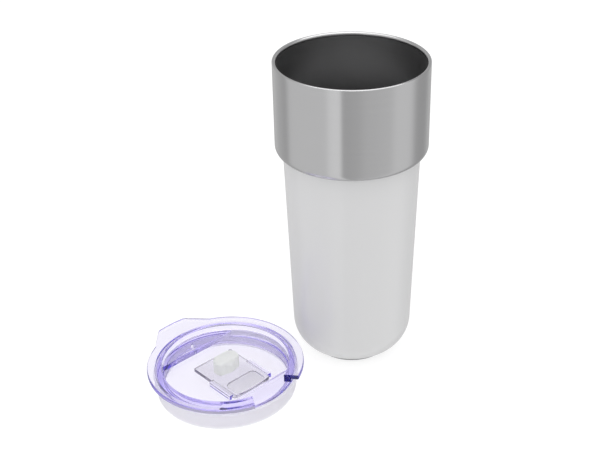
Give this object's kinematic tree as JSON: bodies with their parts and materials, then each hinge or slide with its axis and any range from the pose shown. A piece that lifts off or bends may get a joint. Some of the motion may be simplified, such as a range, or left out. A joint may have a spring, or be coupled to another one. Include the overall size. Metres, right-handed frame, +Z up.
{
  "type": "insulated tumbler with lid",
  "caption": "Double-wall steel tumbler with a wide brushed collar over a white tapered body, and a clear press-in lid with a sliding shutter lying beside it.",
  "frame": {"origin": "centre of the flat underside of the tumbler, on the tumbler's axis", "axes": "+Z up along the tumbler's axis. The lid lies on the same surface towards -X and -Y, and its shutter's axis points 45 degrees from +X towards -Y."},
  "size_m": [0.1603, 0.1341, 0.183],
  "materials": {
    "brushed_collar": "brushed round the collar, satin",
    "white_coat": "satin white coating",
    "liner_steel": "fine brushed steel",
    "base_steel": "plain pressed steel",
    "seal_glass": "dark solder glass",
    "getter_metal": "sintered metal",
    "pad_rubber": "matt grey rubber",
    "clear_lid": "clear plastic with a violet tint",
    "frosted_silicone": "frosted translucent silicone",
    "clear_shutter": "clear plastic",
    "frosted_grip": "frosted white plastic"
  },
  "bodies": {
    "tumbler": {"collar_shell": "brushed_collar", "body_shell": "white_coat", "liner_cup": "liner_steel", "base_plate": "base_steel", "vacuum_seal_bead": "seal_glass", "getter_pill": "getter_metal", "base_pad": "pad_rubber"},
    "lid": {"lid_body": "clear_lid", "lid_sleeve": "frosted_silicone"},
    "shutter": {"shutter_plate": "clear_shutter", "shutter_seal": "frosted_silicone", "thumb_grip": "frosted_grip"}
  },
  "joints": [
    {"name": "lid_lift", "type": "slide", "parent": "tumbler", "child": "lid", "axis": [0, 0, 1], "range_m": [0, 0.1]},
    {"name": "shutter_slide", "type": "slide", "parent": "lid", "child": "shutter", "axis": [-0.7071, 0.7071, 0], "range_m": [0, 0.012]}
  ]
}
